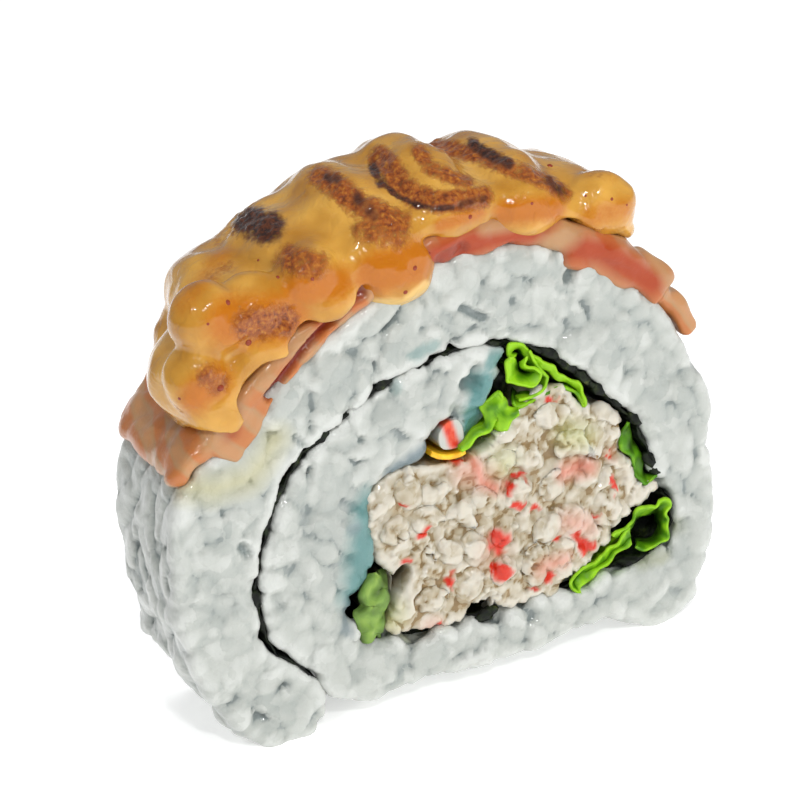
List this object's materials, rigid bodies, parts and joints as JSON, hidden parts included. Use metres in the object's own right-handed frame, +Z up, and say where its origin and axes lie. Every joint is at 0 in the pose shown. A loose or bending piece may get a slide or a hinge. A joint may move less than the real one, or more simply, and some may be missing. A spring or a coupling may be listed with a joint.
{
  "type": "uramaki sushi roll piece",
  "caption": "Cut piece of an inside-out sushi roll: rice outside, wound seaweed, crab salad and lettuce filling, topped with seared salmon and thick flamed sauce.",
  "frame": {"origin": "middle of the piece's box, on the surface that it stands on", "axes": "+Z up, +Y along the roll's axis from the shown cut face to the other one, +X to the right across the shown cut face"},
  "size_m": [0.0573, 0.0208, 0.0514],
  "materials": {
    "rice": "cooked sushi rice, moist and slightly translucent",
    "nori": "pressed seaweed sheet, matte and almost black",
    "crab_salad": "creamy shredded crab salad with red flecks",
    "crab_stick": "red skin of a crab stick, moist",
    "yellow_filling": "yellow filling, moist",
    "lettuce": "fresh wet lettuce leaf",
    "salmon": "seared salmon, moist, with pale fat lines",
    "sauce": "thick glossy sauce with burnt marks"
  },
  "bodies": {
    "root": {"rice": "rice", "nori": "nori", "crab_salad": "crab_salad", "crab_stick": "crab_stick", "yellow_strip": "yellow_filling", "lettuce_top": "lettuce", "lettuce_frill": "lettuce", "lettuce_left": "lettuce", "lettuce_right": "lettuce", "lettuce_base": "lettuce", "salmon": "salmon", "sauce": "sauce"}
  },
  "joints": []
}
